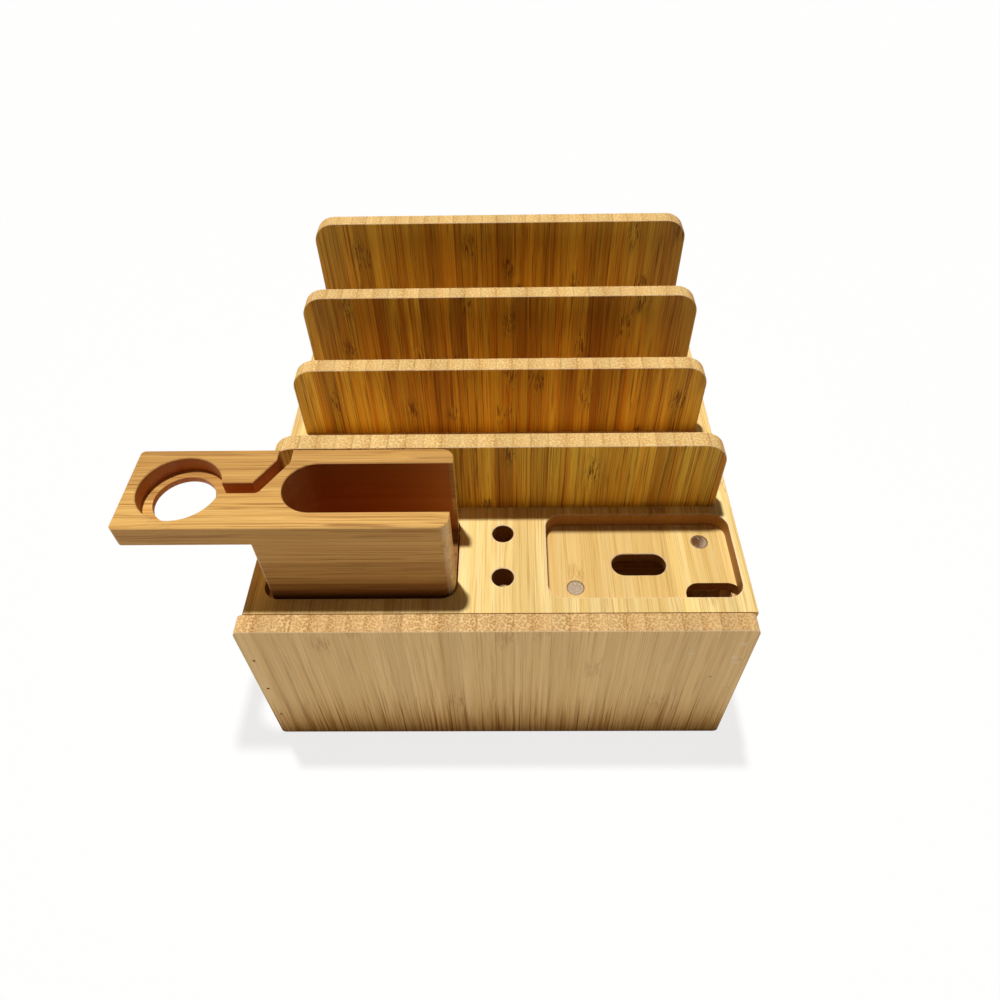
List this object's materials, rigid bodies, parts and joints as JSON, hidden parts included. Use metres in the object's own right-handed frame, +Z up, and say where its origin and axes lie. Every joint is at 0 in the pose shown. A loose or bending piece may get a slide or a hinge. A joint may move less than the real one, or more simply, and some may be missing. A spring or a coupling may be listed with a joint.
{
  "type": "charging station organizer",
  "caption": "Bamboo desk organizer: cable box with a lift-off lid, device dividers, accessory pockets, pen holes and a lift-out watch and earbud stand.",
  "frame": {"origin": "middle of the box's underside, on the surface that it stands on", "axes": "+X to the user's right along the front panel, +Y to the back, +Z up"},
  "size_m": [0.2368, 0.214, 0.1456],
  "materials": {
    "bamboo_panel": "satin oiled bamboo, vertical strips",
    "bamboo_deck": "satin oiled pale bamboo, strips front to back",
    "bamboo_divider": "satin oiled amber bamboo, vertical strips",
    "bamboo_stand": "satin oiled bamboo, strips left to right",
    "magnet_nickel": "dull nickel plate",
    "pin_steel": "dark drawn wire"
  },
  "bodies": {
    "base": {"front_panel": "bamboo_panel", "back_panel": "bamboo_panel", "left_side_panel": "bamboo_panel", "right_side_panel": "bamboo_panel", "bottom_panel": "bamboo_panel", "front_pins": "pin_steel", "back_pins": "pin_steel", "left_bottom_pins": "pin_steel", "right_bottom_pins": "pin_steel"},
    "lid": {"deck_board": "bamboo_deck", "divider_1": "bamboo_divider", "divider_2": "bamboo_divider", "divider_3": "bamboo_divider", "divider_4": "bamboo_divider", "left_batten": "bamboo_deck", "right_batten": "bamboo_deck", "batten_pins": "pin_steel", "left_pocket_front_magnet": "magnet_nickel", "left_pocket_rear_magnet": "magnet_nickel", "right_pocket_front_magnet": "magnet_nickel", "right_pocket_rear_magnet": "magnet_nickel"},
    "stand": {"stand_block": "bamboo_stand", "stand_arm": "bamboo_stand", "stand_front_magnet": "magnet_nickel", "stand_rear_magnet": "magnet_nickel"}
  },
  "joints": [
    {"name": "lid_lift", "type": "slide", "parent": "base", "child": "lid", "axis": [0, 0, 1], "range_m": [0, 0.06]},
    {"name": "stand_lift", "type": "slide", "parent": "lid", "child": "stand", "axis": [0, 0, 1], "range_m": [0, 0.06]}
  ]
}
